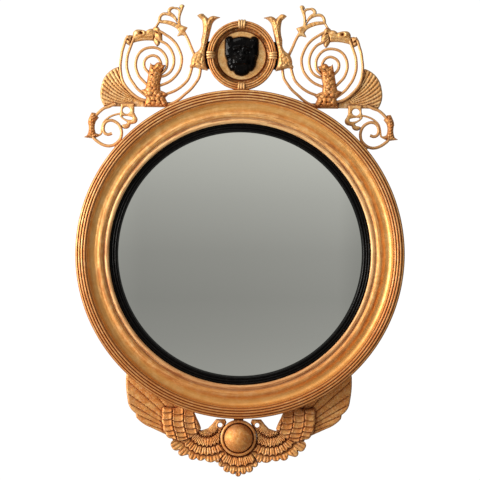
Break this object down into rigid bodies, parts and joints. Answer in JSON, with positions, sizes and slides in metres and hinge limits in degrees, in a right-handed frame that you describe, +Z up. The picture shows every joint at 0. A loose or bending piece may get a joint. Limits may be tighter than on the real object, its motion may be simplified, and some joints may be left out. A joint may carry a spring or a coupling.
{
  "type": "girandole mirror",
  "caption": "Round gilt wall mirror with a convex glass, a reeded moulding, an ebonised slip, a carved crest with scrolls round a roundel, and a winged apron below.",
  "frame": {"origin": "middle of the round frame, on the wall plane that its back rests on", "axes": "+Z up, +X to the viewer's right, +Y back into the wall, so the glass faces -Y"},
  "size_m": [0.8127, 0.0647, 1.1714],
  "materials": {
    "gilt_wood": "water gilding over red bole on carved wood, rubbed on high edges",
    "gilt_iron": "gilded iron rod, soft sheen",
    "ebonised_wood": "black ebonised wood, polished",
    "looking_glass": "silvered convex glass",
    "bare_pine": "aged bare pine",
    "hanger_brass": "dull brass",
    "strap_iron": "blackened iron strap",
    "screw_steel": "plain steel screw"
  },
  "bodies": {
    "frame": {"acanthus_left": "gilt_wood", "acanthus_right": "gilt_wood", "apron_strap": "strap_iron", "back_plank_lower": "bare_pine", "back_plank_middle": "bare_pine", "back_plank_upper": "bare_pine", "calyx_left": "gilt_wood", "calyx_right": "gilt_wood", "calyx_spine_left": "ebonised_wood", "calyx_spine_right": "ebonised_wood", "convex_glass": "looking_glass", "core_felloe_1": "bare_pine", "core_felloe_2": "bare_pine", "core_felloe_3": "bare_pine", "core_felloe_4": "bare_pine", "core_felloe_5": "bare_pine", "core_felloe_6": "bare_pine", "crest_bar_left": "gilt_wood", "crest_bar_right": "gilt_wood", "crest_strap_left": "strap_iron", "crest_strap_right": "strap_iron", "ebonised_slip": "ebonised_wood", "fitting_screws": "screw_steel", "frame_moulding": "gilt_wood", "glazing_blocks": "bare_pine", "hanger_screws": "screw_steel", "hanger_strap_left": "hanger_brass", "hanger_strap_right": "hanger_brass", "leafy_trunk_left": "gilt_wood", "leafy_trunk_right": "gilt_wood", "leopard_mask": "ebonised_wood", "lotus_leaf_left": "gilt_wood", "lotus_leaf_right": "gilt_wood", "lower_feathers_left": "gilt_wood", "lower_feathers_right": "gilt_wood", "lower_scroll_left": "gilt_iron", "lower_scroll_right": "gilt_iron", "orb": "gilt_wood", "orb_ring": "gilt_wood", "petal_loops_left": "gilt_wood", "petal_loops_right": "gilt_wood", "plank_screws": "screw_steel", "ribbon_ties": "gilt_wood", "roundel_dish": "gilt_wood", "roundel_foot": "gilt_wood", "roundel_ring": "gilt_wood", "roundel_strap": "strap_iron", "scroll_husk_left": "gilt_wood", "scroll_husk_right": "gilt_wood", "scroll_rods_left": "gilt_iron", "scroll_rods_right": "gilt_iron", "shell_fan_left": "gilt_wood", "shell_fan_right": "gilt_wood", "tail_feathers": "gilt_wood", "wing_board_left": "gilt_wood", "wing_board_right": "gilt_wood", "wing_coverts_left": "gilt_wood", "wing_coverts_right": "gilt_wood"},
    "ring_left": {"hanger_ring_left": "hanger_brass"},
    "ring_right": {"hanger_ring_right": "hanger_brass"}
  },
  "joints": [
    {"name": "ring_left_swing", "type": "hinge", "parent": "frame", "child": "ring_left", "pos_m": [-0.33509, -0.0099, 0.18958], "axis": [1, 0, 0], "range_deg": [0, 180]},
    {"name": "ring_right_swing", "type": "hinge", "parent": "frame", "child": "ring_right", "pos_m": [0.33509, -0.0099, 0.18958], "axis": [1, 0, 0], "range_deg": [0, 180]}
  ]
}
